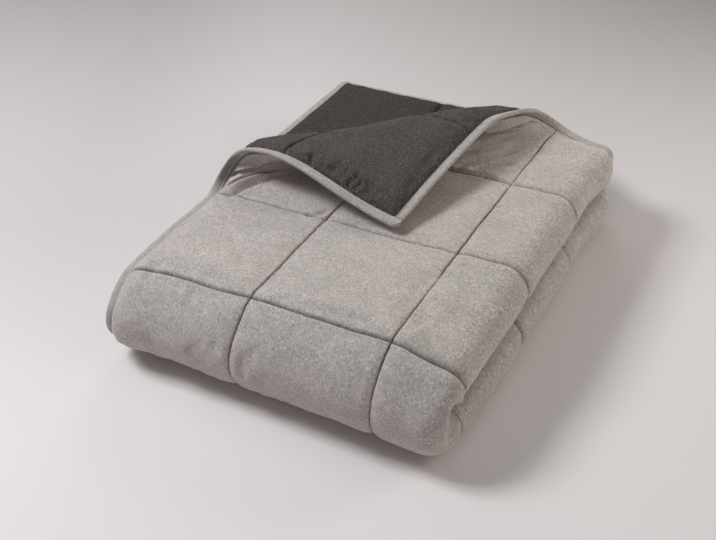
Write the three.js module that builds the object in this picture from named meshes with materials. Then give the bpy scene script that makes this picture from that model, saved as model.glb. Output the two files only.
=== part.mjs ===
// Quilted duvet, folded twice, with one corner turned back.
// Millimetres, +Z up. The quilt is described flat first: u runs across its width, v along its
// length, both counted from the inner line of the binding. Every surface point is then carried
// through the folds: across the width (right side), across the length (front), and the corner.
import * as THREE from 'three';

// ---- the flat quilt ---------------------------------------------------------------------------
const SQUARE = 252.4;          // side of one quilted square
const ACROSS = 5;              // squares across the width
const ALONG = 7;               // squares along the length
const LOFT = 44;               // thickness of one layer at the crown of a square
const SEAM_RATIO = 0.42;       // thickness on a seam, as a share of the loft
const SEAM_SHOULDER = 70;      // distance from a seam to the flat crown
const EDGE_RATIO = 0.17;       // thickness at the binding, as a share of the loft
const EDGE_SHOULDER = 70;      // distance over which the sides are drawn in
const WIDTH = ACROSS * SQUARE;
const LENGTH = ALONG * SQUARE;

// ---- the binding tape, folded over the edge ---------------------------------------------------
const TAPE_WIDTH = 18;         // visible width of the tape
const TAPE_THICK = 1.6;        // thickness of the folded tape on each face
const SEWN_GAP = 1.1;          // clearance between tape and quilt
const TONGUE = 15;             // depth of the flat quilt edge inside the tape
const TONGUE_HALF = 1.9;       // half thickness of that edge
const LIP_STEP = 0.8;          // width of the step where the tape begins

// ---- the folds --------------------------------------------------------------------------------
const LAYER_GAP = 1.6;         // space between two layers
const SIDE_FOLD_X = 592;       // centre line of the fold across the width
const SIDE_FOLD_HALF = 2.5 * SQUARE - SIDE_FOLD_X;   // half the cloth taken up by that fold
const FRONT_FOLD_Y = 12;       // centre line of the fold across the length
const OUTER_NEUTRAL = 89.7;     // radius that keeps its length at the front fold, outer layer
const INNER_NEUTRAL = 22;      // the same for the inner layer
const LAG_LENGTH = 140;        // cloth over which the inner layer slides to its own length
const SLIDE_FRONT = 10;        // inner layer reaches this much further to the left, front
const SLIDE_BACK = 36;         // the same at the back

// ---- settling of the pile ---------------------------------------------------------------------
const TILT = 0.000186;         // relative gain in height per millimetre to the right
const TILT_X = 254;            // where the height is nominal
const FRONT_SAG = 0.10;        // share of height lost along the front roll
const CORNER_SAG = 0.10;       // more of it at the front left corner
const CORNER_PUSH = 14;        // forward bulge of that corner
const TUCK = 14;               // left edges drawn in by this much
const BACK_SAG = 0.064;        // share of height lost at the back right corner
const BACK_SPREAD = 9;         // that corner reaches this much further to the right

// ---- the turned-back corner -------------------------------------------------------------------
// The sheet lifts along a diagonal of the squares, rolls over and lies down again.
// A row for each place along that diagonal.
const LIFT_OFFSET = 18.985;    // lifting line behind the diagonal
// start: half length of the first bend; reach: cloth to the top of the roll; lift: slope going up;
// lay: slope of the lying flap; bend: half length of the roll; droop: extra slope towards the tip.
// Lengths in millimetres, slopes in degrees.
const CORNER_TABLE = [
  { place: 0.0, start: 33.479, reach: 53.490, lift: 55.041, lay: 143.330, bend: 80.508, droop: 51.375 },
  { place: 0.5, start: 36.082, reach: 75.540, lift: 103.704, lay: 185.705, bend: 49.196, droop: 7.902 },
  { place: 1.0, start: 75.282, reach: 107.038, lift: 157.445, lay: 173.705, bend: 55.303, droop: -9.552 },
];
const DROOP_LENGTH = 150;      // cloth over which the droop builds up
const DRIFT_WALL = -0.472;     // sideways lean of the rising part
const DRIFT_FLAP = -0.155;     // sideways lean of the lying part
const ROLL_STEPS = 48;

// ---- helpers ----------------------------------------------------------------------------------
const clamp = (t, lo, hi) => Math.min(Math.max(t, lo), hi);
const ease = (t) => { const c = clamp(t, 0, 1); return c * c * (3 - 2 * c); };
const round = (t) => { const c = clamp(t, 0, 1); return Math.sqrt(1 - (1 - c) * (1 - c)); };
const fromSeam = (w) => Math.abs(w / SQUARE - Math.round(w / SQUARE)) * SQUARE;

// Half thickness of the filled quilt at a flat point.
function halfLoft(u, v) {
  const inward = Math.min(u, WIDTH - u, v, LENGTH - v);
  if (inward <= 0) return TONGUE_HALF;
  const crown = round(fromSeam(u) / SEAM_SHOULDER) * round(fromSeam(v) / SEAM_SHOULDER);
  const quilted = SEAM_RATIO + (1 - SEAM_RATIO) * crown;
  const drawnIn = EDGE_RATIO + (1 - EDGE_RATIO) * round(inward / EDGE_SHOULDER);
  return 0.5 * LOFT * Math.min(quilted, drawnIn);
}

// The two folds. off is the distance from the middle of the layer, positive to the light face.
function folded(u, v, off) {
  const pitch = LOFT + LAYER_GAP;
  const turn = 0.5 * Math.PI * clamp((2.5 * SQUARE - u) / SIDE_FOLD_HALF, -1, 1);
  const r = Math.max(0.5 * pitch + off, 0.5 * LAYER_GAP);
  const past = u - 2.5 * SQUARE - SIDE_FOLD_HALF;
  const slide = SLIDE_FRONT + (SLIDE_BACK - SLIDE_FRONT) * ease((Math.abs(v - 3.5 * SQUARE) - 150) / 450);
  let x, rise;
  if (u < SIDE_FOLD_X) { x = u; rise = r; }
  else if (past > 0) { x = SIDE_FOLD_X - past - slide * ease(past / 400); rise = -r; }
  else { x = SIDE_FOLD_X + r * Math.cos(turn); rise = r * Math.sin(turn); }
  const level = Math.max(pitch + rise, 0.5 * LAYER_GAP);

  const inner = ease((u - 2.5 * SQUARE) / (SIDE_FOLD_HALF + LAG_LENGTH));
  const quarter = 0.5 * Math.PI * (OUTER_NEUTRAL + (INNER_NEUTRAL - OUTER_NEUTRAL) * inner);
  const along = v - 3.5 * SQUARE;
  const swing = 0.5 * Math.PI * clamp(along / quarter, -1, 1);
  const straight = Math.max(Math.abs(along) - quarter, 0);
  const y = FRONT_FOLD_Y + straight - level * Math.cos(swing);
  const z = 2 * pitch - 0.5 * LAYER_GAP + level * Math.sin(swing);
  return [x, straight > 0 ? FRONT_FOLD_Y + straight : y, z];
}

// One value of the corner table at a place along the diagonal.
function cornerValue(column, place) {
  const [a, m, b] = CORNER_TABLE.map((row) => row[column]);
  return a * (1 - place) * (1 - 2 * place) + m * 4 * place * (1 - place) + b * place * (2 * place - 1);
}

// The corner roll: position and slope after a length of cloth beyond the lifting line.
function rolled(place, beyond) {
  const [start, reach, bend] = ['start', 'reach', 'bend'].map((column) => cornerValue(column, place));
  const [lift, lay, droop] = ['lift', 'lay', 'droop'].map((column) => THREE.MathUtils.degToRad(cornerValue(column, place)));
  const slope = (p) => lift * ease((p + start) / (2 * start))
    + (lay - lift) * ease((p - reach + bend) / (2 * bend))
    + droop * ease((p - reach - bend) / DROOP_LENGTH);
  const step = (beyond + start) / ROLL_STEPS;
  let back = -start, up = 0, side = 0;
  for (let i = 0; i < ROLL_STEPS; i++) {
    const p = -start + (i + 0.5) * step;
    const lying = ease((p - reach + bend) / (2 * bend));
    const rising = (1 - lying) * ease((p + start) / (2 * start));
    const lean = DRIFT_FLAP * lying + DRIFT_WALL * rising;
    const run = step * Math.sqrt(1 - lean * lean);
    back += Math.cos(slope(p)) * run;
    up += Math.sin(slope(p)) * run;
    side += lean * step;
  }
  return { back, up, side, slope: slope(beyond) };
}

// Flat point and offset to the folded, settled position.
function placed(u, v, off) {
  let [x, y, z] = folded(u, v, off);
  const topOuter = u < SIDE_FOLD_X && v > 3.5 * SQUARE + 0.5 * Math.PI * OUTER_NEUTRAL;
  if (topOuter) {
    const [mx, my, mz] = folded(u, v, 0);
    const fx = mx, fy = my - SQUARE;
    const run = (fx + fy) / Math.SQRT2;
    const beyond = (fy - fx) / Math.SQRT2 - LIFT_OFFSET;
    const place = clamp((run - 60) / (2 * SQUARE * Math.SQRT2 - 120), 0, 1);
    if (beyond > -cornerValue('start', place) && run > -60) {
      const roll = rolled(place, beyond);
      const back = roll.back + LIFT_OFFSET - Math.sin(roll.slope) * off;
      x = (run + roll.side - back) / Math.SQRT2;
      y = SQUARE + (run + roll.side + back) / Math.SQRT2;
      z = mz + roll.up + Math.cos(roll.slope) * off;
    }
  }
  const corner = ease((120 - x) / 190) * ease((140 - y) / 230);
  const far = ease((y - 540) / 220);
  const height = (1 + TILT * (x - TILT_X)) * (1 - FRONT_SAG * ease((20 - y) / 90)) * (1 - CORNER_SAG * corner)
    * (1 - BACK_SAG * ease((x - 490) / 110) * far);
  const drawn = TUCK * ease((75 - x) / 95) * ease((480 - y) / 200);
  const spread = BACK_SPREAD * ease((x - 480) / 120) * far;
  return [x + drawn + spread, y - CORNER_PUSH * corner, z * height];
}

// ---- lines of the mesh on the flat quilt ------------------------------------------------------
// Distances from a square's first seam at which a line is drawn. The top outer quarter, which
// carries the turned-back corner, has the full lines; the other quarters keep a few of them.
const NEAR = 14, MID = 0.5 * SQUARE;
const evenly = (cells) => [0, NEAR, ...Array.from({ length: cells - 3 }, (_, i) => NEAR + (i + 1) * (SQUARE - 2 * NEAR) / (cells - 2)), SQUARE - NEAR];
const ROLLING = evenly(13);
const LYING = evenly(8);
const ROLLING_FEW = [0, 4, 9].map((i) => ROLLING[i]);
const LYING_FEW = [0, 3, 5].map((i) => LYING[i]);
const PLAIN = [0, SEAM_SHOULDER, SQUARE - SEAM_SHOULDER];
const HIDDEN = [0, 35, MID, SQUARE - 35];
const TOPPLAIN = [0, NEAR, SEAM_SHOULDER, SQUARE - SEAM_SHOULDER, SQUARE - NEAR];
const around = (centre, list) => [...list.map((d) => centre - d).reverse(), ...list.filter((d) => d > 0).map((d) => centre + d)];
const SIDE_FOLD_LINES = [0, NEAR, 45, ...around(MID, [0, 1 / 3, 2 / 3, 1].map((s) => s * SIDE_FOLD_HALF)), SQUARE - 45, SQUARE - NEAR];
const FRONT_FOLD_LINES = [0, ...around(MID, [0, 12, 24, 35, 62, 90, 112])];
const linesOf = (squares, margin) => {
  const end = squares.length * SQUARE;
  const inside = squares.flatMap((list, i) => list.map((d) => i * SQUARE + d)).filter((w) => w > 0);
  return [-margin, 0, LIP_STEP, ...inside, end - LIP_STEP, end, end + margin];
};
const LINES = {
  uTop: linesOf([LYING, ROLLING, SIDE_FOLD_LINES, HIDDEN, HIDDEN], TONGUE),
  uBottom: linesOf([LYING_FEW, ROLLING_FEW, SIDE_FOLD_LINES, HIDDEN, HIDDEN], TONGUE),
  vOuter: linesOf([PLAIN, PLAIN, PLAIN, FRONT_FOLD_LINES, TOPPLAIN, ROLLING, LYING], TONGUE),
  vInner: linesOf([PLAIN, PLAIN, PLAIN, FRONT_FOLD_LINES, TOPPLAIN, ROLLING_FEW, LYING_FEW], TONGUE),
};
const SPLIT_U = 2 * SQUARE + MID, SPLIT_V = 3 * SQUARE + MID;   // middle lines of the two folds

// ---- solids -----------------------------------------------------------------------------------
function closedGeometry(points, triangles) {
  let volume = 0;
  for (const [a, b, c] of triangles) {
    const [p, q, r] = [points[a], points[b], points[c]];
    volume += p[0] * (q[1] * r[2] - q[2] * r[1]) + p[1] * (q[2] * r[0] - q[0] * r[2]) + p[2] * (q[0] * r[1] - q[1] * r[0]);
  }
  const index = triangles.flatMap(([a, b, c]) => (volume > 0 ? [a, b, c] : [a, c, b]));
  const geometry = new THREE.BufferGeometry();
  geometry.setAttribute('position', new THREE.Float32BufferAttribute(points.flat(), 3));
  geometry.setIndex(index);
  geometry.computeVertexNormals();
  return geometry;
}

// The filled quilt: light face, charcoal reverse and the thin edge between them.
function quiltBody() {
  const before = (list, w) => list.filter((x) => x <= w), after = (list, w) => list.filter((x) => x >= w);
  const QUARTERS = [
    // quarter              lines across                       lines along
    { name: 'outer_top',    us: before(LINES.uTop, SPLIT_U),    vs: after(LINES.vOuter, SPLIT_V) },
    { name: 'inner_top',    us: after(LINES.uTop, SPLIT_U),     vs: after(LINES.vInner, SPLIT_V) },
    { name: 'outer_bottom', us: before(LINES.uBottom, SPLIT_U), vs: before(LINES.vOuter, SPLIT_V) },
    { name: 'inner_bottom', us: after(LINES.uBottom, SPLIT_U),  vs: before(LINES.vInner, SPLIT_V) },
  ];
  const points = [], triangles = [], seen = new Map();
  // Index of the light-face point over a flat point; the charcoal one follows it.
  const at = (u, v) => {
    const key = `${u.toFixed(3)} ${v.toFixed(3)}`;
    if (!seen.has(key)) {
      seen.set(key, points.length);
      const half = halfLoft(u, v);
      points.push(placed(u, v, half), placed(u, v, -half));
    }
    return seen.get(key);
  };
  const bothFaces = (a, b, c) => triangles.push([a, b, c], [a + 1, c + 1, b + 1]);
  for (const { us, vs } of QUARTERS)
    for (let i = 0; i + 1 < us.length; i++)
      for (let j = 0; j + 1 < vs.length; j++) {
        const [u0, u1, v0, v1] = [us[i], us[i + 1], vs[j], vs[j + 1]];
        const corners = [at(u0, v0), at(u1, v0), at(u1, v1), at(u0, v1)];
        const between = (list, lo, hi) => list.filter((w) => w > lo + 1e-6 && w < hi - 1e-6).reverse();
        const left = u0 === SPLIT_U && v0 >= SPLIT_V ? between(LINES.vOuter, v0, v1).map((v) => at(u0, v)) : [];
        const upper = v1 === SPLIT_V && u1 <= SPLIT_U ? between(LINES.uTop, u0, u1).map((u) => at(u, v1)) : [];
        const fan = upper.length
          ? [corners[0], corners[1], corners[2], ...upper, corners[3]]
          : left.length ? [corners[1], corners[2], corners[3], ...left, corners[0]] : corners;
        for (let k = 1; k + 1 < fan.length; k++) bothFaces(fan[0], fan[k], fan[k + 1]);
      }
  const rim = [
    ...LINES.uBottom.slice(0, -1).map((u) => at(u, -TONGUE)),
    ...LINES.vInner.slice(0, -1).map((v) => at(WIDTH + TONGUE, v)),
    ...LINES.uTop.slice(1).reverse().map((u) => at(u, LENGTH + TONGUE)),
    ...LINES.vOuter.slice(1).reverse().map((v) => at(-TONGUE, v)),
  ];
  rim.forEach((a, n) => {
    const b = rim[(n + 1) % rim.length];
    triangles.push([a, a + 1, b + 1], [a, b + 1, b]);
  });
  return closedGeometry(points, triangles);
}

// A tape folded over one edge: a U section carried along the edge lines.
function bindingTape(stations, flatPoint) {
  const inside = TONGUE_HALF + SEWN_GAP, outside = inside + TAPE_THICK;
  const floor = TONGUE + SEWN_GAP;
  const section = [
    { out: SEWN_GAP, off: outside }, { out: TAPE_WIDTH, off: outside },
    { out: TAPE_WIDTH, off: -outside }, { out: SEWN_GAP, off: -outside },
    { out: SEWN_GAP, off: -inside }, { out: floor, off: -inside },
    { out: floor, off: inside }, { out: SEWN_GAP, off: inside },
  ];
  const n = section.length, points = [], diagonal = [], triangles = [];
  for (const w of stations)
    for (const s of section) {
      const [u, v] = flatPoint(w, s.out);
      points.push(placed(u, v, s.off));
      diagonal.push(u + v);
    }
  // Each quad is split along the same diagonal of the squares as the quilt.
  for (let k = 0; k + 1 < stations.length; k++)
    for (let j = 0; j < n; j++) {
      const a = k * n + j, b = k * n + (j + 1) % n, c = b + n, d = a + n;
      if (Math.abs(diagonal[c] - diagonal[a]) >= Math.abs(diagonal[d] - diagonal[b])) triangles.push([a, b, c], [a, c, d]);
      else triangles.push([a, b, d], [b, c, d]);
    }
  const cap = [[0, 1, 6, 7], [1, 2, 5, 6], [2, 3, 4, 5]];
  const last = (stations.length - 1) * n;
  for (const [a, b, c, d] of cap) {
    triangles.push([c, b, a], [d, c, a]);
    triangles.push([last + a, last + b, last + c], [last + a, last + c, last + d]);
  }
  return closedGeometry(points, triangles);
}

const onSeams = (list, end) => list.filter((w) => w >= 0 && w <= end && w !== LIP_STEP && w !== end - LIP_STEP);
const lapped = (list) => [-TAPE_WIDTH, ...list, LENGTH + TAPE_WIDTH];

const LIGHT = { color: 0xb4aeaa, roughness: 0.95, metalness: 0 };
const TAPE = { color: 0xc4bfb8, roughness: 0.92, metalness: 0 };
const pieces = [
  { name: 'quilt_body', geometry: quiltBody(), look: LIGHT },
  { name: 'binding_side_a', geometry: bindingTape(lapped(onSeams(LINES.vOuter, LENGTH)), (w, out) => [-out, w]), look: TAPE },
  { name: 'binding_side_b', geometry: bindingTape(lapped(onSeams(LINES.vInner, LENGTH)), (w, out) => [WIDTH + out, w]), look: TAPE },
  { name: 'binding_head', geometry: bindingTape(onSeams(LINES.uTop, WIDTH), (w, out) => [w, LENGTH + out]), look: TAPE },
  { name: 'binding_foot', geometry: bindingTape(onSeams(LINES.uBottom, WIDTH), (w, out) => [w, -out]), look: TAPE },
];

// The origin is under the middle of the whole, on the surface it rests on.
const box = new THREE.Box3();
for (const piece of pieces) { piece.geometry.computeBoundingBox(); box.union(piece.geometry.boundingBox); }
const centre = box.getCenter(new THREE.Vector3());

const duvet = new THREE.Group();
duvet.name = 'folded_quilted_duvet';
for (const { name, geometry, look } of pieces) {
  geometry.translate(-centre.x, -centre.y, 0);
  const mesh = new THREE.Mesh(geometry, new THREE.MeshStandardMaterial(look));
  mesh.name = name;
  duvet.add(mesh);
}

export default duvet;
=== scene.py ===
import math

import bpy
import numpy as np
from mathutils import Matrix, Vector


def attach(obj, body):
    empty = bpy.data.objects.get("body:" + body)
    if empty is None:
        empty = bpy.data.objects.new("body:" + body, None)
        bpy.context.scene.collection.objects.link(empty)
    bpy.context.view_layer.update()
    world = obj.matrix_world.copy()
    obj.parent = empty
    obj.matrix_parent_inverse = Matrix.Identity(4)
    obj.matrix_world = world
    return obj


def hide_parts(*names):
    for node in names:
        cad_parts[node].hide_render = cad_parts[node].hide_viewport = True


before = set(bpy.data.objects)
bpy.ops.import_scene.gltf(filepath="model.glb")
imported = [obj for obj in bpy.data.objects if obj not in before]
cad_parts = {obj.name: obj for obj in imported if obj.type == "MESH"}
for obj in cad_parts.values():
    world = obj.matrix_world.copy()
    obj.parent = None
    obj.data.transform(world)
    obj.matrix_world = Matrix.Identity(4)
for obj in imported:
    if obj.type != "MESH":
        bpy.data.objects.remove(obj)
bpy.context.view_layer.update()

# ------------------------------------------------------------------ sizes of the flat quilt, mm
SQUARE, ACROSS, ALONG = 252.4, 5, 7
WIDTH, LENGTH = ACROSS * SQUARE, ALONG * SQUARE
LOFT = 44.0
SEAM_DIP, SEAM_WIDE = 0.21, 40.0      # broad dip toward a seam: share of the loft, reach
SEAM_CUT, SEAM_NARROW = 8.5, 2.9      # crease on the seam itself: depth, reach
EDGE_RATIO, EDGE_SHOULDER = 0.17, 58.0
TAPE_WIDTH, TONGUE = 18.0, 12.0

# ------------------------------------------------------------------ folds, as in the CAD
LAYER_GAP = 1.6
PITCH = LOFT + LAYER_GAP
SIDE_X = 592.0
SIDE_HALF = 2.5 * SQUARE - SIDE_X
FRONT_Y = 12.0
OUTER_NEUTRAL, INNER_NEUTRAL = 89.7, 22.0
LAG, SLIDE_FRONT, SLIDE_BACK = 140.0, 10.0, 36.0
TILT, TILT_X = 0.000186, 254.0
FRONT_SAG, CORNER_SAG, CORNER_PUSH = 0.10, 0.10, 14.0
BACK_SAG, BACK_SPREAD = 0.064, 9.0
TUCK = 14.0
LIFT_OFFSET = 18.985
# corner roll: left end, middle, right end of the diagonal
LIFT_BEND = (33.479, 36.082, 75.282)
REACH = (53.490, 75.540, 107.038)
LIFT = (55.041, 103.704, 157.445)
LAY = (143.330, 185.705, 173.705)
BEND = (80.508, 49.196, 55.303)
DROOP = (51.375, 7.902, -9.552)
DROOP_LENGTH = 150.0
DRIFT_WALL, DRIFT_FLAP = -0.472, -0.155
CENTRE = (294.8244, 398.4879)   # plan centre of the part in these coordinates


def ease(t):
    t = np.clip(t, 0, 1)
    return t * t * (3 - 2 * t)


def dome(t):
    t = np.clip(t, 0, 1)
    return np.sqrt(np.maximum(1 - (1 - t) ** 2, 0))


# ------------------------------------------------------------------ smooth noise on the flat quilt
def noise(x, y, size, seed):
    """Smooth values from -1 to 1 on a lattice of that size in mm."""
    table = np.random.default_rng(seed).uniform(-1, 1, (61, 67))
    gx, gy = x / size + 200.0, y / size + 200.0
    ix, iy = np.floor(gx).astype(int), np.floor(gy).astype(int)
    fx, fy = gx - ix, gy - iy
    fx, fy = fx**3 * (fx * (fx * 6 - 15) + 10), fy**3 * (fy * (fy * 6 - 15) + 10)
    at = lambda i, j: table[i % 61, j % 67]
    a = at(ix, iy) * (1 - fx) + at(ix + 1, iy) * fx
    b = at(ix, iy + 1) * (1 - fx) + at(ix + 1, iy + 1) * fx
    return a * (1 - fy) + b * fy


def from_seam(w):
    return np.abs(w / SQUARE - np.round(w / SQUARE)) * SQUARE


def half_loft(u, v, cut_only=False):
    """Half thickness of the filled quilt at a flat point."""
    # seams wander a little, as sewn ones do
    us = u + 1.6 * noise(u, v, 90, 3) * np.clip(np.minimum(u, WIDTH - u) / 40, 0, 1)
    vs = v + 1.6 * noise(u, v, 90, 4) * np.clip(np.minimum(v, LENGTH - v) / 40, 0, 1)
    inward = np.minimum(np.minimum(u, WIDTH - u), np.minimum(v, LENGTH - v))
    # the outer lines of the pattern are edges, not seams
    du = np.where((us < 0.5 * SQUARE) | (us > WIDTH - 0.5 * SQUARE), np.maximum(np.abs(us - np.clip(np.round(us / SQUARE), 1, ACROSS - 1) * SQUARE), 0), from_seam(us))
    dv = np.where((vs < 0.5 * SQUARE) | (vs > LENGTH - 0.5 * SQUARE), np.maximum(np.abs(vs - np.clip(np.round(vs / SQUARE), 1, ALONG - 1) * SQUARE), 0), from_seam(vs))
    broad = 1 - SEAM_DIP * (1 - dome(du / SEAM_WIDE) * dome(dv / SEAM_WIDE))
    rise = dome(np.maximum(inward, 0) / EDGE_SHOULDER)
    gentle = np.sin(0.5 * np.pi * np.clip(inward / 66.0, 0, 1)) ** 1.1
    head = ease((v - LENGTH + 160) / 60) * ease((u - 1.5 * SQUARE) / 90) * ease((3.1 * SQUARE - u) / 60)
    drawn = EDGE_RATIO + (1 - EDGE_RATIO) * (rise + (gentle - rise) * head)
    half = 0.5 * LOFT * np.minimum(broad, drawn)
    # cross seams are drawn a little wider, and more where they round the side; the second long seam is finer
    fine = 0.42 * ease((u - 1.6 * SQUARE) / 60) * ease((2.4 * SQUARE - u) / 60) * ease((v - 3.4 * SQUARE) / 60)
    near = np.minimum((1.12 + fine) * du, (0.76 - 0.12 * ease((u - 560) / 40) * ease((700 - u) / 30)) * dv)
    # beside the flap the inner layer's seam is pressed nearly shut
    near = near + 2.3 * ease((u - 4.1 * SQUARE) / 60) * ease((40 - np.abs(v - 6 * SQUARE)) / 20)
    if cut_only:    # how far inside the sewn line a point is
        return np.clip(1.1 - near / 2.0, 0, 1)
    cut = np.clip(1 - near / SEAM_NARROW, 0, 1) ** 1.3
    pinch = 1 + 1.0 * ease((u - 560) / 40) * ease((700 - u) / 30)
    half = np.maximum(half - SEAM_CUT * pinch * cut * half / (0.5 * LOFT), 2.4)
    return np.where(inward <= 0, 2.3, np.where(inward < 1.5, np.minimum(half, 3.4), half))


def folded(u, v, off):
    turn = 0.5 * np.pi * np.clip((2.5 * SQUARE - u) / SIDE_HALF, -1, 1)
    r = np.maximum(0.5 * PITCH + off, 0.5 * LAYER_GAP)
    past = u - 2.5 * SQUARE - SIDE_HALF
    outer, inner = u < SIDE_X, past > 0
    slide = SLIDE_FRONT + (SLIDE_BACK - SLIDE_FRONT) * ease((np.abs(v - 3.5 * SQUARE) - 150) / 450)
    x = np.where(outer, u, np.where(inner, SIDE_X - past - slide * ease(past / 400), SIDE_X + r * np.cos(turn)))
    rise = np.where(outer, r, np.where(inner, -r, r * np.sin(turn)))
    level = np.maximum(PITCH + rise, 0.5 * LAYER_GAP)
    share = ease((u - 2.5 * SQUARE) / (SIDE_HALF + LAG))
    quarter = 0.5 * np.pi * (OUTER_NEUTRAL + (INNER_NEUTRAL - OUTER_NEUTRAL) * share)
    along = v - 3.5 * SQUARE
    swing = 0.5 * np.pi * np.clip(along / quarter, -1, 1)
    straight = np.maximum(np.abs(along) - quarter, 0)
    y = np.where(straight > 0, FRONT_Y + straight, FRONT_Y - level * np.cos(swing))
    z = 2 * PITCH - 0.5 * LAYER_GAP + level * np.sin(swing)
    return x, y, z


def settled(x, y, z):
    """The pile gives way at its corners and edges."""
    corner = ease((120 - x) / 190) * ease((140 - y) / 230)
    far = ease((y - 540) / 220)
    height = (1 + TILT * (x - TILT_X)) * (1 - FRONT_SAG * ease((20 - y) / 90)) * (1 - CORNER_SAG * corner) * (1 - BACK_SAG * ease((x - 490) / 110) * far)
    across = x + TUCK * ease((75 - x) / 95) * ease((480 - y) / 200) + BACK_SPREAD * ease((x - 480) / 120) * far
    return across - CENTRE[0], y - CORNER_PUSH * corner - CENTRE[1], z * height


def three(values, t):
    a, m, b = values
    return a * (1 - t) * (1 - 2 * t) + m * 4 * t * (1 - t) + b * t * (2 * t - 1)


def rolled(place, beyond, steps=40):
    start = three(LIFT_BEND, place)
    reach = three(REACH, place)
    lift = np.radians(three(LIFT, place))
    painted_light_gain = np.radians(three(LAY, place))
    bend = three(BEND, place)
    droop = np.radians(three(DROOP, place))

    def slope(p):
        return (lift * ease((p + start) / (2 * start)) + (painted_light_gain - lift) * ease((p - reach + bend) / (2 * bend))
                + droop * ease((p - reach - bend) / DROOP_LENGTH))

    step = (beyond + start) / steps
    back, up, side = -start, np.zeros_like(beyond), np.zeros_like(beyond)
    for i in range(steps):
        p = -start + (i + 0.5) * step
        lying = ease((p - reach + bend) / (2 * bend))
        lean = DRIFT_FLAP * lying + DRIFT_WALL * (1 - lying) * ease((p + start) / (2 * start))
        run = step * np.sqrt(1 - lean * lean)
        s = slope(p)
        back = back + np.cos(s) * run
        up = up + np.sin(s) * run
        side = side + lean * step
    return back, up, side, slope(beyond)


def place_of(run):
    return np.clip((run - 60) / (2 * SQUARE * math.sqrt(2) - 120), 0, 1)


def corner_coords(u, v):
    """Along and beyond the lifting line, for points of the top outer quarter."""
    fx, fy = u, FRONT_Y + v - 3.5 * SQUARE - 0.5 * np.pi * OUTER_NEUTRAL - SQUARE
    return (fx + fy) / math.sqrt(2), (fy - fx) / math.sqrt(2) - LIFT_OFFSET


def placed(u, v, off):
    u, v, off = (np.array(a, float) for a in np.broadcast_arrays(u, v, off))
    x, y, z = folded(u, v, off)
    run, beyond = corner_coords(u, v)
    k = (u < SIDE_X) & (v > 3.5 * SQUARE + 0.5 * np.pi * OUTER_NEUTRAL) & (beyond > -three(LIFT_BEND, place_of(run))) & (run > -60)
    if k.any():
        rn, by, of = run[k], beyond[k], off[k]
        mz = folded(u[k], v[k], np.zeros_like(of))[2]
        back, up, side, slope = rolled(place_of(rn), by)
        back = back + LIFT_OFFSET - np.sin(slope) * of
        x[k] = (rn + side - back) / math.sqrt(2)
        y[k] = SQUARE + (rn + side + back) / math.sqrt(2)
        z[k] = mz + up + np.cos(slope) * of
    return np.stack(settled(x, y, z), -1) / 1000.0


# ------------------------------------------------------------------ unevenness of the sewn, filled cloth
def relief(u, v, side):
    """Outward move of the surface, mm: soft lumps of filling, puckers at seams and binding."""
    inward = np.minimum(np.minimum(u, WIDTH - u), np.minimum(v, LENGTH - v))
    soft = np.clip(inward / 60, 0, 1)
    s = 40 if side < 0 else 10
    lumps = 1.3 * noise(u, v, 96, s + 1) + 0.8 * noise(u, v, 44, s + 2) + 0.28 * noise(u, v, 24, s + 3)
    du, dv = from_seam(u), from_seam(v)
    strength = 1.3 if side < 0 else 1.0
    puck = 0.0
    for d, along, k in ((du, v, 5), (dv, u, 6)):
        fade = np.exp(-((d - 8.0) / 13.0) ** 2)
        row = np.round(u / SQUARE) * 977 + np.round(v / SQUARE) * 331
        puck = puck + fade * strength * (noise(along, row + d * 0.35, 15, s + k) + 0.5 * noise(along, row + d * 0.5, 7, s + k + 20))
    edge = np.exp(-((inward - 12.0) / 16.0) ** 2) * (2.0 if side < 0 else 1.0) * strength * noise(u + v, u - v, 22, s + 8)
    return lumps * soft + puck * np.clip(inward / 12, 0, 1) + edge * np.clip(inward / 6, 0, 1)


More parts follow.
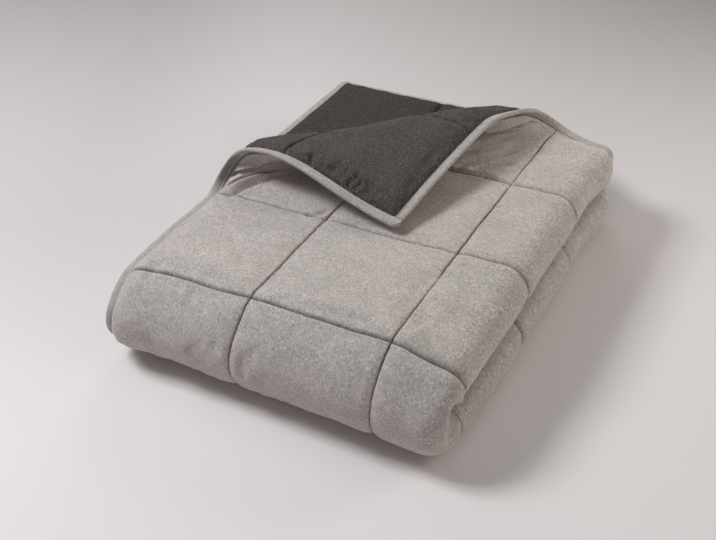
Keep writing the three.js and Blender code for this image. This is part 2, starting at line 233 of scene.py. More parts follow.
# Folds pressed into the cloth: face, depth, half width, and the line they follow on the flat quilt (mm)
CREASES = [
    # light cloth gathered inside the left end of the corner roll: three pleats and the valleys between them
    (1, -7.5, 6.5, ((5, 1346), (11, 1374), (22, 1399), (29, 1425), (33, 1452))),
    (1, 7.5, 3.2, ((2, 1322), (13, 1360), (25, 1386), (37, 1404), (56, 1420), (82, 1433))),
    (1, -7.5, 7.5, ((4, 1292), (12, 1328), (28, 1358), (45, 1382), (64, 1402))),
    (1, 7.5, 3.2, ((3, 1266), (20, 1300), (38, 1325), (51, 1348), (63, 1373), (80, 1394), (106, 1416))),
    (1, -8.0, 8.5, ((16, 1264), (35, 1287), (53, 1310), (68, 1334), (84, 1362))),
    (1, 5.5, 6.0, ((44, 1254), (54, 1276), (68, 1302), (80, 1328), (94, 1350), (114, 1372))),
    # and inside its right end, where the cloth hinges on a seam
    (1, 4.0, 6.0, ((285, 1516), (340, 1515), (420, 1514), (503, 1514))),
    (1, 3.0, 3.5, ((250, 1515), (340, 1515), (420, 1514), (540, 1514))),
    (1, 12.0, 5.0, ((345, 1702), (374, 1712), (405, 1721), (430, 1738), (464, 1758))),
    (1, 6.5, 7.5, ((386, 1530), (410, 1556), (442, 1591), (478, 1645))),
    (1, 6.0, 7.0, ((414, 1526), (434, 1540), (458, 1560), (488, 1592))),
    (1, 5.5, 8.0, ((380, 1600), (410, 1640), (440, 1690))),
    # tuck beside the seam crossing in front of the flap
    (1, 4.5, 5.0, ((208, 1256), (224, 1260), (231, 1272), (247, 1284))),
    # charcoal side of the flap: gathers at its binding, seam and middle
    (-1, 5.0, 3.6, ((2, 1660), (12, 1656), (24, 1661), (40, 1658))),
    (-1, 3.0, 3.4, ((4, 1672), (16, 1676), (30, 1670))),
    (-1, 4.6, 4.0, ((2, 1575), (16, 1566), (30, 1568))),
    (-1, 2.6, 4.0, ((2, 1592), (14, 1596), (26, 1590))),
    (-1, 2.4, 6.0, ((6, 1610), (24, 1620), (50, 1616))),
    (-1, 4.5, 5.0, ((120, 1764), (128, 1742), (124, 1716))),
    (-1, 4.5, 5.0, ((300, 1764), (296, 1744), (304, 1722))),
    (-1, 3.5, 14.0, ((60, 1480), (150, 1560), (232, 1660))),
    (-1, 3.0, 16.0, ((110, 1470), (200, 1560), (300, 1640))),
]


def creases(u, v, side, shade=False):
    """Move of the surface, mm; or, as a shade, 0 to 1 in the bottom of the sharper folds."""
    out = np.zeros_like(u)
    for face, deep, wide, line in CREASES:
        if face != side or (shade and (deep < 4.6 or wide > 5.5)):
            continue
        line = np.array(line, float)
        pad = 5 * wide
        k = (u > line[:, 0].min() - pad) & (u < line[:, 0].max() + pad) & (v > line[:, 1].min() - pad) & (v < line[:, 1].max() + pad)
        if not k.any():
            continue
        a, b = u[k] + 2.0 * noise(u[k], v[k], 26, 61), v[k] + 2.0 * noise(u[k], v[k], 26, 62)
        gone = np.concatenate([[0], np.cumsum(np.hypot(*np.diff(line, axis=0).T))])
        best, where = np.full(a.shape, 1e9), np.zeros(a.shape)
        for i in range(len(line) - 1):
            p, q = line[i], line[i + 1]
            e = q - p
            t = np.clip(((a - p[0]) * e[0] + (b - p[1]) * e[1]) / (e @ e), 0, 1)
            d = np.hypot(a - p[0] - t * e[0], b - p[1] - t * e[1])
            near = d < best
            best[near] = d[near]
            where[near] = (gone[i] + t * np.hypot(*e))[near] / gone[-1]
        hold = ease(where / 0.12) * ease((1 - where) / 0.3)
        if shade:
            out[k] = np.maximum(out[k], hold * np.clip(1 - best / 4.0, 0, 1))
            continue
        out[k] += deep * hold * (0.5 * np.exp(-((best - 2.3 * wide) / (1.2 * wide)) ** 2) - np.exp(-(best / wide) ** 2))
    return out


def tuck(u, v):
    """The side fold closes to a sharp edge where it rounds the front: how far it is drawn in behind that edge, mm."""
    edge = 617.0 + 1.5 * noise(u, v, 30, 71)
    corner = 17.0 * ease((u - edge) / 14) * ease((760 - u) / 70) * ease((978 - v) / 40) * ease((v - 790) / 70)
    # and the two rolls part a little all along the side
    parting = 13.0 * ease((u - 636) / 22) * ease((800 - u) / 90) * ease((np.abs(v - 3.5 * SQUARE) - 60) / 60)
    # toward the front the whole side is drawn in
    front = np.abs(v - 3.5 * SQUARE)
    gather = 8.0 * ease((u - 520) / 80) * ease((800 - u) / 90) * ease((1.45 * SQUARE - front) / (0.95 * SQUARE))
    return np.maximum(corner, parting) + gather


def laid(u, v, off):
    """Placed on the pile, with the side drawn in and the front corner of the side fold pressed down."""
    p = placed(u, v, off)
    p[..., 0] -= tuck(np.asarray(u, float), np.asarray(v, float)) / 1000.0
    p[..., 2] *= 1 - 0.11 * ease((p[..., 0] - 0.205) / 0.095) * ease((-0.15 - p[..., 1]) / 0.22)
    return p


def shown(u, v, side):
    """1 where the surface is free, 0 where it lies on another layer or on the floor."""
    run, beyond = corner_coords(u, v)
    if side > 0:      # light face: top, front and the rolls of the side fold
        top = ease((2.5 * SQUARE + 30 - u) / 30) * ease((v - 3.0 * SQUARE - 20) / 60)
        roll = ease((u - 585) / 30) * ease((668 - u) / 30)
        return np.maximum(top, roll)
    lifted = ease((beyond + 10) / 40) * (u < SIDE_X) * (v > 4.6 * SQUARE)
    bare = ease((u - 3.2 * SQUARE) / 60) * ease((v - 5.0 * SQUARE) / 60)
    return np.maximum(lifted, bare)


def surface(u, v, side, swell=None):
    half = half_loft(u, v)
    free = shown(u, v, side)
    move = relief(u, v, side) + creases(u, v, side)
    if side < 0:
        move = move - 5.0 * half_loft(u, v, True) * np.clip((half - 4) / 8, 0, 1)
    move = move * free + np.minimum(move, 0) * (1 - free) * 0.5
    inward = np.minimum(np.minimum(u, WIDTH - u), np.minimum(v, LENGTH - v))
    move = np.where(inward <= 1.5, 0, np.maximum(move, -0.75 * half))
    p = laid(u, v, side * (half + move))
    return p if swell is None else p + swell(u, v, side)


# ------------------------------------------------------------------ mesh helpers
def lines(spec, extra=()):
    """Grid lines over the squares: (lines, tightness toward seams) for each half square."""
    parts = [np.array([-TONGUE, -TONGUE * 0.5, 0.0, 1.5, 3.5])]
    for i, (n, tight) in enumerate(spec):
        t = np.arange(n) / n
        d = 0.5 * SQUARE * (t - tight * np.sin(np.pi * t) / np.pi) if i % 2 == 0 else 0.5 * SQUARE * (t + tight * np.sin(np.pi * t) / np.pi)
        parts.append(0.5 * SQUARE * i + d)
    end = 0.5 * SQUARE * len(spec)
    parts.append(np.array(extra, float))
    parts.append(np.array([end - 3.5, end - 1.5, end, end + TONGUE * 0.5, end + TONGUE]))
    w = np.unique(np.round(np.concatenate(parts), 4))
    fixed = set(np.round(np.concatenate([parts[0], parts[-1]]), 4))
    keep = [w[0]]
    for x in w[1:]:
        if x - keep[-1] > 0.6 or x in fixed:
            keep.append(x)
    return np.array(keep)


def add_mesh(name, points, faces, flat=None, materials=(), index=None, smooth=True, extra=()):
    """Mesh of four-sided faces, with three-sided extra ones after them."""
    mesh = bpy.data.meshes.new(name)
    points = np.asarray(points, np.float32)
    faces = np.asarray(faces, np.int32).reshape(-1, 4)
    extra = np.asarray(extra, np.int32).reshape(-1, 3)
    corners = np.concatenate([faces.ravel(), extra.ravel()])
    n = len(faces) + len(extra)
    mesh.vertices.add(len(points))
    mesh.vertices.foreach_set("co", points.ravel())
    mesh.loops.add(len(corners))
    mesh.loops.foreach_set("vertex_index", corners)
    mesh.polygons.add(n)
    mesh.polygons.foreach_set("loop_start", np.concatenate([np.arange(len(faces)) * 4, len(faces) * 4 + np.arange(len(extra)) * 3]).astype(np.int32))
    mesh.polygons.foreach_set("use_smooth", np.full(n, smooth))
    for m in materials:
        mesh.materials.append(m)
    if index is not None:
        mesh.polygons.foreach_set("material_index", np.asarray(index, np.int32))
    if flat is not None:
        layer = mesh.uv_layers.new(name="flat")
        layer.data.foreach_set("uv", np.asarray(flat, np.float32)[corners].ravel())
    mesh.update(calc_edges=True)
    mesh.validate()
    obj = bpy.data.objects.new(name, mesh)
    bpy.context.scene.collection.objects.link(obj)
    return obj


# ------------------------------------------------------------------ materials
def new_material(name):
    m = bpy.data.materials.new(name)
    m.use_nodes = True
    tree = m.node_tree
    tree.nodes.clear()
    out = tree.nodes.new("ShaderNodeOutputMaterial")
    bsdf = tree.nodes.new("ShaderNodeBsdfPrincipled")
    tree.links.new(bsdf.outputs[0], out.inputs[0])
    return m, tree, bsdf


def heather(name, dark, base, pale, contrast, sheen, bump):
    """Brushed melange jersey: flecks of three yarn shades, soft clouding, fine knit relief, with painted shade and
    painted light read from two point attributes.
    """
    m, t, bsdf = new_material(name)
    N, L = t.nodes.new, t.links.new
    uv = N("ShaderNodeUVMap"); uv.uv_map = "flat"

    def mapped(sx, sy, rot=0.0):
        mp = N("ShaderNodeMapping")
        mp.inputs["Scale"].default_value = (sx, sy, 1)
        mp.inputs["Rotation"].default_value = (0, 0, rot)
        L(uv.outputs[0], mp.inputs[0])
        return mp.outputs[0]

    def tex(vec, scale, detail, rough, distort=0.0):
        n = N("ShaderNodeTexNoise")
        n.inputs["Scale"].default_value = scale
        n.inputs["Detail"].default_value = detail
        n.inputs["Roughness"].default_value = rough
        n.inputs["Distortion"].default_value = distort
        L(vec, n.inputs["Vector"])
        return n.outputs[0]

    def ramp(fac, stops):
        r = N("ShaderNodeValToRGB")
        e = r.color_ramp.elements
        while len(e) < len(stops):
            e.new(0.5)
        for el, (pos, col) in zip(e, stops):
            el.position = pos
            el.color = (*col, 1) if len(col) == 3 else col
        L(fac, r.inputs[0])
        return r.outputs[0]

    def mix(kind, fac, a, b):
        x = N("ShaderNodeMix"); x.data_type = "RGBA"; x.blend_type = kind
        if hasattr(fac, "links"):
            L(fac, x.inputs[0])
        else:
            x.inputs[0].default_value = fac
        for s, val in ((6, a), (7, b)):
            if hasattr(val, "links"):
                L(val, x.inputs[s])
            else:
                x.inputs[s].default_value = (*val, 1)
        return x.outputs[2]

    flecks = tex(mapped(1.0, 0.5), 440, 2.6, 0.6, 0.5)
    fine = tex(mapped(1.0, 0.6, 0.35), 1400, 2.0, 0.6)
    cloud = tex(mapped(1, 1), 18, 2.0, 0.5)
    yarn = ramp(flecks, [(0.33, dark), (0.47, base), (0.53, base), (0.69, pale)])
    specks = ramp(fine, [(0.36, dark), (0.50, base), (0.64, pale)])
    col = mix("MIX", 0.27, yarn, specks)
    col = mix("MIX", contrast, base, col)
    # painted shade: the 'seam' attribute darkens the colour in seam creases, fold bottoms, the groove beside the
    # binding, the crevice between the side rolls and the closed-in stretch of the corner-roll tape
    deep = N("ShaderNodeAttribute"); deep.attribute_name = "seam"
    shadow = ramp(deep.outputs["Fac"], [(0.15, (1, 1, 1)), (0.85, (0.40, 0.39, 0.38))])
    col = mix("MULTIPLY", 1.0, col, shadow)
    # painted light and painted shade: the 'nap' attribute lightens or darkens the colour where light falls more or
    # less, not a change of nap
    painted_light_attr = N("ShaderNodeAttribute"); painted_light_attr.attribute_name = "nap"
    painted_light_gain = N("ShaderNodeMath"); painted_light_gain.operation = "ADD"; painted_light_gain.inputs[1].default_value = 1.0
    L(painted_light_attr.outputs["Fac"], painted_light_gain.inputs[0])
    col = mix("MULTIPLY", 1.0, col, painted_light_gain.outputs[0])
    shade = ramp(cloud, [(0.3, (0.94, 0.94, 0.94)), (0.7, (1.055, 1.055, 1.055))])
    col = mix("MULTIPLY", 1.0, col, shade)
    mottle = tex(mapped(1.0, 0.8, 0.5), 105, 3.0, 0.6, 0.8)
    col = mix("MULTIPLY", 1.0, col, ramp(mottle, [(0.3, (0.87, 0.87, 0.87)), (0.7, (1.12, 1.12, 1.12))]))
    L(col, bsdf.inputs["Base Color"])
    bsdf.inputs["Roughness"].default_value = 0.93
    bsdf.inputs["Specular IOR Level"].default_value = 0.12
    bsdf.inputs["Sheen Weight"].default_value = sheen
    bsdf.inputs["Sheen Roughness"].default_value = 0.4
    bsdf.inputs["Sheen Tint"].default_value = (*pale, 1)

    nap = tex(mapped(1.0, 0.7), 620, 4.0, 0.7)
    b1 = N("ShaderNodeBump"); b1.inputs["Strength"].default_value = bump; b1.inputs["Distance"].default_value = 0.0010
    L(nap, b1.inputs["Height"])
    b2 = N("ShaderNodeBump"); b2.inputs["Strength"].default_value = 0.06; b2.inputs["Distance"].default_value = 0.0016
    L(tex(mapped(1, 1), 120, 2.0, 0.5), b2.inputs["Height"])
    L(b1.outputs[0], b2.inputs["Normal"])
    L(b2.outputs[0], bsdf.inputs["Normal"])
    return m


LIGHT = heather("light_heather", (0.196, 0.178, 0.168), (0.517, 0.468, 0.444), (0.88, 0.82, 0.78), 0.72, 0.6, 0.28)
CHARCOAL = heather("charcoal_heather", (0.015, 0.0122, 0.0122), (0.065, 0.0545, 0.052), (0.22, 0.187, 0.178), 0.68, 0.14, 0.28)
TAPE = heather("tape_heather", (0.212, 0.195, 0.185), (0.475, 0.436, 0.414), (0.775, 0.728, 0.70), 0.7, 0.3, 0.28)
THREAD = heather("light_thread", (0.66, 0.64, 0.62), (0.78, 0.76, 0.74), (0.86, 0.84, 0.82), 0.5, 0.1, 0.3)
SEAM_THREAD = heather("seam_thread", (0.09, 0.083, 0.078), (0.17, 0.157, 0.148), (0.24, 0.224, 0.212), 0.5, 0.1, 0.3)
DARK_THREAD = heather("charcoal_thread", (0.015, 0.014, 0.014), (0.040, 0.036, 0.035), (0.08, 0.072, 0.07), 0.5, 0.1, 0.3)

# ------------------------------------------------------------------ the filling pushes the cloth out: cloth simulation
def between(lines_u, lines_v, values):
    """Bilinear reading of values kept on a grid of the flat quilt."""
    def read(u, v):
        i = np.clip(np.searchsorted(lines_u, u) - 1, 0, len(lines_u) - 2)
        j = np.clip(np.searchsorted(lines_v, v) - 1, 0, len(lines_v) - 2)
        a = np.clip((u - lines_u[i]) / (lines_u[i + 1] - lines_u[i]), 0, 1)[..., None]
        b = np.clip((v - lines_v[j]) / (lines_v[j + 1] - lines_v[j]), 0, 1)[..., None]
        return (values[i, j] * (1 - a) * (1 - b) + values[i + 1, j] * a * (1 - b) + values[i, j + 1] * (1 - a) * b + values[i + 1, j + 1] * a * b)
    return read


def simulated(cells=18, frames=14, cap=0.003):
    """Cloth held along its seams and edges, pressed outward from inside. Returns how far each point moved."""
    su = np.linspace(0, WIDTH, ACROSS * cells + 1)
    sv = np.linspace(0, LENGTH, ALONG * cells + 1)
    gu, gv = np.meshgrid(su, sv, indexing="ij")
    half = half_loft(gu, gv)
    pts = np.concatenate([placed(gu, gv, half).reshape(-1, 3), placed(gu, gv, -half).reshape(-1, 3)])
    a, b = gu.shape
    ids = np.arange(a * b).reshape(a, b)
    q = np.stack([ids[:-1, :-1], ids[1:, :-1], ids[1:, 1:], ids[:-1, 1:]], -1).reshape(-1, 4)
    ring = np.concatenate([ids[:, 0], ids[-1, 1:], ids[-2::-1, -1], ids[0, -2:0:-1]])
    after = np.roll(ring, -1)
    wall = np.stack([ring, ring + a * b, after + a * b, after], -1)
    body = add_mesh("inflating", pts, np.concatenate([q, q[:, ::-1] + a * b, wall]))
    on_seam = (np.arange(a)[:, None] % cells == 0) | (np.arange(b)[None, :] % cells == 0)
    held = []
    for side in (1, -1):
        h = np.where(on_seam, 1.0, 1 - shown(gu, gv, side))
        held.append(np.where(h > 0.6, 1.0, 0.0).ravel())
    held = np.concatenate(held)
    group = body.vertex_groups.new(name="sewn")
    group.add([int(i) for i in np.nonzero(held)[0]], 1.0, "REPLACE")
    cloth = body.modifiers.new("cloth", "CLOTH")
    c = cloth.settings
    c.quality = 5
    c.mass = 0.25
    c.tension_stiffness, c.compression_stiffness, c.shear_stiffness, c.bending_stiffness = 18, 6, 4, 0.25
    c.air_damping = 2.0
    c.use_pressure = True
    c.uniform_pressure_force = 4.0
    c.shrink_min = -0.022
    c.effector_weights.gravity = 0
    c.vertex_group_mass = "sewn"
    c.pin_stiffness = 1.0
    cloth.collision_settings.use_collision = False
    cloth.collision_settings.use_self_collision = False
    cloth.point_cache.frame_start, cloth.point_cache.frame_end = 1, frames
    for f in range(1, frames + 1):
        bpy.context.scene.frame_set(f)
    ready = body.evaluated_get(bpy.context.evaluated_depsgraph_get())
    mesh = ready.to_mesh()
    co = np.zeros(len(mesh.vertices) * 3, np.float32)
    mesh.vertices.foreach_get("co", co)
    ready.to_mesh_clear()
    bpy.context.scene.frame_set(1)
    moved = co.reshape(-1, 3) - pts
    far = np.linalg.norm(moved, axis=1, keepdims=True)
    print("simulated swell, mm: mean %.2f, most %.2f" % (far.mean() * 1000, far.max() * 1000))
    moved = moved * np.minimum(1, cap / np.maximum(far, 1e-9))
    data = body.data
    bpy.data.objects.remove(body)
    bpy.data.meshes.remove(data)
    reads = {1: between(su, sv, moved[:a * b].reshape(a, b, 3)), -1: between(su, sv, moved[a * b:].reshape(a, b, 3))}

    def swell(u, v, side):
        run, beyond = corner_coords(u, v)
        inside = (u < SIDE_X) & (v > 4.2 * SQUARE)
        # less room where the flap lies over the top
        room = np.where(inside & (beyond > 60), 0.35 if side > 0 else 1.0, np.where(inside & (run > 0) & (side > 0), 0.45 + 0.55 * ease((-beyond - 330) / 60), 1.0))
        return reads[side](u, v) * (room * shown(u, v, side))[..., None]
    return swell


swell = simulated()

# ------------------------------------------------------------------ the filled quilt
# each face has lines close together where it shows and far apart where it is covered
GRID = {
    1: (lines([(42, 0.45)] + [(35, 0.72)] * 3 + [(42, 0.1), (20, 0.35)] + [(4, 0.6)] * 4),
        lines([(6, 0.8)] * 6 + [(22, 0.5), (30, 0.55)] + [(33, 0.72)] * 2 + [(48, 0.5), (34, 0.35)] + [(33, 0.6)] * 2)),
    -1: (lines([(20, 0.6)] * 4 + [(6, 0.6)] * 2 + [(10, 0.6)] * 4),
         lines([(2, 0.6)] * 6 + [(7, 0.2)] * 2 + [(9, 0.6)] * 2 + [(28, 0.55)] * 2 + [(40, 0.15)] * 2)),
}


def around(ids):
    """The four borders of a grid of vertices, in turn."""
    return [ids[:, 0], ids[-1, :], ids[::-1, -1], ids[0, ::-1]]


points, quads, flat, index, deep, painted_light_values, borders, spans = [], [], [], [], [], [], [], []
base = 0
for side in (1, -1):
    uu, vv = np.meshgrid(*GRID[side], indexing="ij")
    ids = base + np.arange(uu.size).reshape(uu.shape)
    base += uu.size
    points.append(surface(uu, vv, side, swell).reshape(-1, 3))
    q = np.stack([ids[:-1, :-1], ids[1:, :-1], ids[1:, 1:], ids[:-1, 1:]], -1).reshape(-1, 4)
    quads.append(q if side > 0 else q[:, ::-1])
    index.append(np.full(len(q), 0 if side > 0 else 1))
    flat.append(np.stack([uu.ravel(), vv.ravel()], -1) / 1000.0 + (0.0 if side > 0 else 3.1))
    inward = np.minimum(np.minimum(uu, WIDTH - uu), np.minimum(vv, LENGTH - vv))
    # painted shade, kept in the 'seam' attribute: darker colour in the seam creases, in the bottoms of the sharper
    # folds, in the groove beside the binding and in the crevice between the two side rolls
    painted_groove_shade = np.clip(1.2 - np.abs(inward - 1.0) / 3.2, 0, 1) if side > 0 else 0.0
    painted_crevice_shade = (0.5 * ease((uu - 640) / 18) + 0.18 * ease((uu - 626) / 24) * (vv < 3.5 * SQUARE)) * ease((730 - uu) / 40) * (side > 0)
    deep.append(np.maximum(np.maximum(half_loft(uu, vv, True), 0.7 * creases(uu, vv, side, True)), np.maximum(0.85 * painted_groove_shade, painted_crevice_shade)).ravel())
    # painted light and painted shade, kept in the 'nap' attribute: the light face is lightened inside the left end of
    # the corner roll; on the charcoal side the flap is lightened and the bare part beyond the side fold darkened
    painted_light_here = 0.16 * ease((140 - uu) / 60) * ease((vv - 1290) / 40) if side > 0 else 0.27 * ease((SIDE_X - uu) / 60) - 0.14 * ease((uu - SIDE_X - 60) / 60)
    painted_light_values.append(painted_light_here.ravel())
    borders.append(around(ids))
    spans.append(around(np.stack([uu, vv], -1)))
# the two faces are closed along the rim, inside the binding
closing = []
for edge in range(4):
    top, low = borders[0][edge], borders[1][edge]
    along = [np.linalg.norm(p[edge] - p[edge][0], axis=1) for p in spans]
    i = j = 0
    while i < len(top) - 1 or j < len(low) - 1:
        if j == len(low) - 1 or (i < len(top) - 1 and along[0][i + 1] <= along[1][j + 1]):
            closing.append((top[i], low[j], top[i + 1])); i += 1
        else:
            closing.append((top[i], low[j], low[j + 1])); j += 1
points = np.concatenate(points)
points[:, 2] = np.maximum(points[:, 2], 0.0)
faces = np.concatenate(quads)
index = np.concatenate(index + [np.zeros(len(closing))])
quilt = add_mesh("quilt", points, faces, np.concatenate(flat), (LIGHT, CHARCOAL), index, extra=closing)
# the 'seam' attribute carries painted shade for the material
quilt.data.attributes.new("seam", "FLOAT", "POINT").data.foreach_set("value", np.concatenate(deep).astype(np.float32))
# the 'nap' attribute carries painted light and painted shade for the material
quilt.data.attributes.new("nap", "FLOAT", "POINT").data.foreach_set("value", np.concatenate(painted_light_values).astype(np.float32))
print("quilt triangles", 2 * len(faces) + len(closing))


# ------------------------------------------------------------------ binding tapes
def tape(name, stations, flat_point, rounded=0.0, inside=None):
    """A tape folded over the edge: a soft U section with a sewn dip near its inner edge."""
    out, off = [], []
    w, t = TAPE_WIDTH, 1.6
    for o, h in ((0.3, 3.2), (0.7, 3.75), (1.8, 3.95), (2.7, 3.0), (3.5, 2.95), (4.6, 3.85), (7.0, 4.1), (11.0, 4.2), (14.6, 3.95), (16.8, 3.1), (17.8, 1.6), (18.0, 0.0)):
        out.append(o); off.append(h)
    section = list(zip(out, off)) + [(o, -h) for o, h in zip(out[-2::-1], off[-2::-1])]
    inner = [(0.3, -2.75), (8.0, -2.75), (14.0, -2.5), (15.4, 0.0), (14.0, 2.5), (8.0, 2.75), (0.3, 2.75)]
    section += inner
    k = len(section)
    so, sf = np.array([s[0] for s in section]), np.array([s[1] for s in section])
    st = np.asarray(stations, float)
    W, O = np.meshgrid(st, so, indexing="ij")
    F = np.broadcast_to(sf, W.shape)
    wave = 0.35 * noise(W, O * 0 + hash_of(name), 14, 91)
    if rounded:
        past = np.maximum(np.maximum(st[0] + rounded - W, W - st[-1] + rounded), 0)
        limit = w - rounded + np.sqrt(np.maximum(rounded**2 - past**2, 0))
        O = np.where(O > 4, 4 + (O - 4) * (limit - 4) / (w - 4), O)
    uq, vq = flat_point(W, O)
    pts = placed(uq, vq, F + np.sign(F) * wave * (np.abs(F) > 3.0))
    pts = pts.reshape(-1, 3)
    pts[:, 2] = np.maximum(pts[:, 2], 0.0)
    idx = np.arange(len(st) * k).reshape(len(st), k)
    a, b = idx[:-1], idx[1:]
    q = np.stack([a, np.roll(a, -1, 1), np.roll(b, -1, 1), b], -1).reshape(-1, 4)
    nf = len(out)
    # caps: pair the outer line with the inner one
    outer_ids = list(range(2 * nf - 1))
    inner_ids = [2 * nf - 1 + i for i in range(len(inner))][::-1]
    caps = []
    m_out, m_in = len(outer_ids), len(inner_ids)
    i = j = 0
    while i < m_out - 1 or j < m_in - 1:
        if j >= m_in - 1 or (i < m_out - 1 and (i + 1) / (m_out - 1) <= (j + 1) / (m_in - 1)):
            caps.append((outer_ids[i], outer_ids[i + 1], inner_ids[j])); i += 1
        else:
            caps.append((outer_ids[i], inner_ids[j + 1], inner_ids[j])); j += 1
    tris = []
    for c in caps:
        tris.append((c[2], c[1], c[0]))
        tris.append(tuple(idx[-1, 0] + x for x in c))
    allf = [tuple(x) for x in q] + tris
    uvs = np.stack([W.ravel() * 0 + np.cumsum(np.r_[0, np.hypot(np.diff(so), np.diff(sf))])[None, :].repeat(len(st), 0).ravel(), W.ravel()], -1) / 1000.0
    mesh = bpy.data.meshes.new(name)
    mesh.from_pydata([tuple(p) for p in pts], [], allf)
    mesh.materials.append(TAPE)
    layer = mesh.uv_layers.new(name="flat")
    li = np.zeros(len(mesh.loops), np.int32)
    mesh.loops.foreach_get("vertex_index", li)
    layer.data.foreach_set("uv", uvs[li].astype(np.float32).ravel())
    mesh.polygons.foreach_set("use_smooth", np.full(len(mesh.polygons), True))
    if inside:    # painted shade on the stretch of the light side that is closed in by the corner roll
        painted_shut_shade = ease((W - inside[0]) / 80) * ease((inside[1] - W) / 40) * ease((F - 0.5) / 2.0)
        mesh.attributes.new("seam", "FLOAT", "POINT").data.foreach_set("value", (inside[2] * painted_shut_shade).ravel().astype(np.float32))
    mesh.update()
    # outward facing
    v = np.array([x.co for x in mesh.vertices]); mesh.calc_loop_triangles()
    tr = np.array([x.vertices for x in mesh.loop_triangles])
    if (v[tr[:, 0]] * np.cross(v[tr[:, 1]], v[tr[:, 2]])).sum() < 0:
        mesh.flip_normals()
    obj = bpy.data.objects.new(name, mesh)
    bpy.context.scene.collection.objects.link(obj)
    return obj


def hash_of(name):
    return float(sum(ord(c) * (i + 3) for i, c in enumerate(name)) % 997)


def dense(lo, hi, step):
    return np.linspace(lo, hi, int(round((hi - lo) / step)) + 1)


def with_ends(lo, hi, step):
    """The same, with stations closer together at both ends."""
    near = np.array([0.35, 1.2, 2.5, 4.2, 9.0])
    return np.unique(np.concatenate([dense(lo, hi, step), lo + near, hi - near]))


EDGES = [
    # piece           stations along the edge                    flat point                             flat length
    ("binding_side_a", with_ends(-TAPE_WIDTH, LENGTH + TAPE_WIDTH, 6.0), lambda w, o: (-o, w), LENGTH + 2 * TAPE_WIDTH),
    ("binding_side_b", with_ends(-TAPE_WIDTH, LENGTH + TAPE_WIDTH, 6.0), lambda w, o: (WIDTH + o, w), LENGTH + 2 * TAPE_WIDTH),
    ("binding_head", dense(0.6, WIDTH - 0.6, 6.0), lambda w, o: (w, LENGTH + o), WIDTH),
    ("binding_foot", dense(0.6, WIDTH - 0.6, 6.0), lambda w, o: (w, -o), WIDTH),
]
tapes = {}
for name, stations, flat_point, length in EDGES:
    # the first side tape gets painted shade (start, end, strength) where the corner roll closes over it
    tapes[name] = tape(name + "_tape", stations, flat_point, 13.0 if "side" in name else 0.0, (1262.0, 1414.0, 0.62) if name == "binding_side_a" else None)


# ------------------------------------------------------------------ stitches
def stitches(name, tracks, thread, length=3.1, radius=0.48):
    """Short threads lying on the cloth; a track is a list of points and the outward direction, in metres."""
    pts, fcs = [], []
    ring = np.array([[0, 1], [0.9, 0.25], [0.9, -0.5], [-0.9, -0.5], [-0.9, 0.25]]) * radius / 1000.0
    for centre, along, outward in tracks:
        along = along / np.linalg.norm(along, axis=1, keepdims=True)
        across = np.cross(along, outward)
        across /= np.linalg.norm(across, axis=1, keepdims=True) + 1e-12
        outw = np.cross(across, along)
        half = 0.5 * length / 1000.0
        for c, a, s, o in zip(centre, along, across, outw):
            base = len(pts)
            for tpos, shrink, sink in ((-1, 0.35, -0.5), (-0.55, 1, 0.0), (0.55, 1, 0.0), (1, 0.35, -0.5)):
                for x, z in ring:
                    pts.append(c + a * half * tpos + s * x * shrink + o * (z * shrink + sink * radius / 1000.0))
            kk = len(ring)
            for r in range(3):
                for j in range(kk):
                    fcs.append((base + r * kk + j, base + r * kk + (j + 1) % kk, base + (r + 1) * kk + (j + 1) % kk, base + (r + 1) * kk + j))
            fcs.append(tuple(base + j for j in range(kk))[::-1])
            fcs.append(tuple(base + 3 * kk + j for j in range(kk)))
    mesh = bpy.data.meshes.new(name)
    mesh.from_pydata([tuple(p) for p in pts], [], fcs)
    mesh.materials.append(thread)
    layer = mesh.uv_layers.new(name="flat")
    li = np.zeros(len(mesh.loops), np.int32)
    mesh.loops.foreach_get("vertex_index", li)
    co = np.array(pts)[li]
    layer.data.foreach_set("uv", np.stack([co[:, 0] + co[:, 2], co[:, 1]], -1).astype(np.float32).ravel())
    mesh.polygons.foreach_set("use_smooth", np.full(len(mesh.polygons), True))
    mesh.update()
    v = np.array([x.co for x in mesh.vertices]); mesh.calc_loop_triangles()
    tr = np.array([x.vertices for x in mesh.loop_triangles])
    if (v[tr[:, 0]] * np.cross(v[tr[:, 1]], v[tr[:, 2]])).sum() < 0:
        mesh.flip_normals()
    obj = bpy.data.objects.new(name, mesh)
    bpy.context.scene.collection.objects.link(obj)
    return obj


def track(point, w, outward):
    """Stitches at the stations w of a line given as point(w, lift in mm)."""
    p = point(w, 0.0)
    along = point(w + 1.0, 0.0) - p
    return p, along, (point(w, 1.0) - p) * outward


STITCH = 4.2
tracks = []
for name, stations, flat_point, length in EDGES:
    w = np.arange(stations[0] + 4, stations[-1] - 4, STITCH)
    for sign in (1, -1):
        tracks.append(track(lambda q, lift: placed(*flat_point(q, np.full_like(q, 3.2)), np.full_like(q, sign * (3.42 + lift))), w, 1))
# rows across the tape where the head and foot tapes meet the side tapes
for side_u in (-1, 1):
    for end_v in (0, 1):
        at_v = LENGTH - 2.0 if end_v else 2.0
        w = np.arange(2.5, 16.5, 3.6)
        for sign in (1, -1):
            tracks.append(track(lambda q, lift: placed(-q if side_u < 0 else WIDTH + q, np.full_like(q, at_v), np.full_like(q, sign * (4.1 + lift))), w, 1))
binding_stitches = stitches("binding_stitches", tracks, THREAD, 3.3, 0.6)


